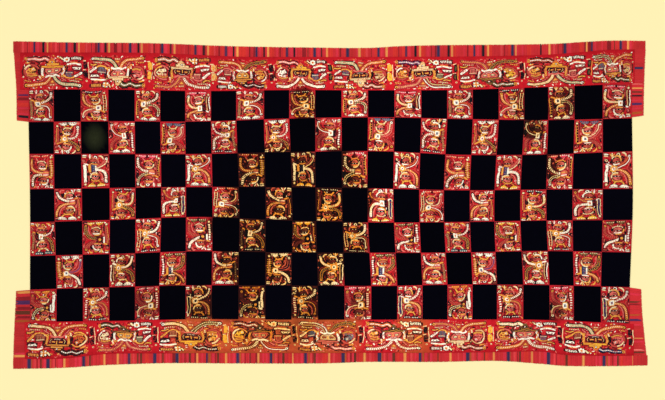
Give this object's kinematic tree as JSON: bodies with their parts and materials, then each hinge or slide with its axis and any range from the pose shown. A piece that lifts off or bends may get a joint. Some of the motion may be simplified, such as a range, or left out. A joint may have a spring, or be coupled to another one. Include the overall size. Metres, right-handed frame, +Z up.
{
  "type": "embroidered funerary mantle",
  "caption": "Large flat woven cloth with an embroidered check field, figured bands along both long edges and striped fringe round the band ends.",
  "frame": {"origin": "centre of the outline, on the surface that the cloth lies on", "axes": "+X along the long edges, +Y across the width to the upper long edge, +Z up out of the embroidered face"},
  "size_m": [2.54, 1.3136, 0.0023],
  "materials": {
    "field": "matte wool embroidery in crimson and blue-black squares",
    "band": "matte wool embroidery on crimson",
    "fringe": "matte wool yarn in crimson, pink, blue, black and gold stripes"
  },
  "bodies": {
    "root": {"field": "field", "border_top": "band", "border_bottom": "band", "fringe_top": "fringe", "fringe_bottom": "fringe"}
  },
  "joints": []
}
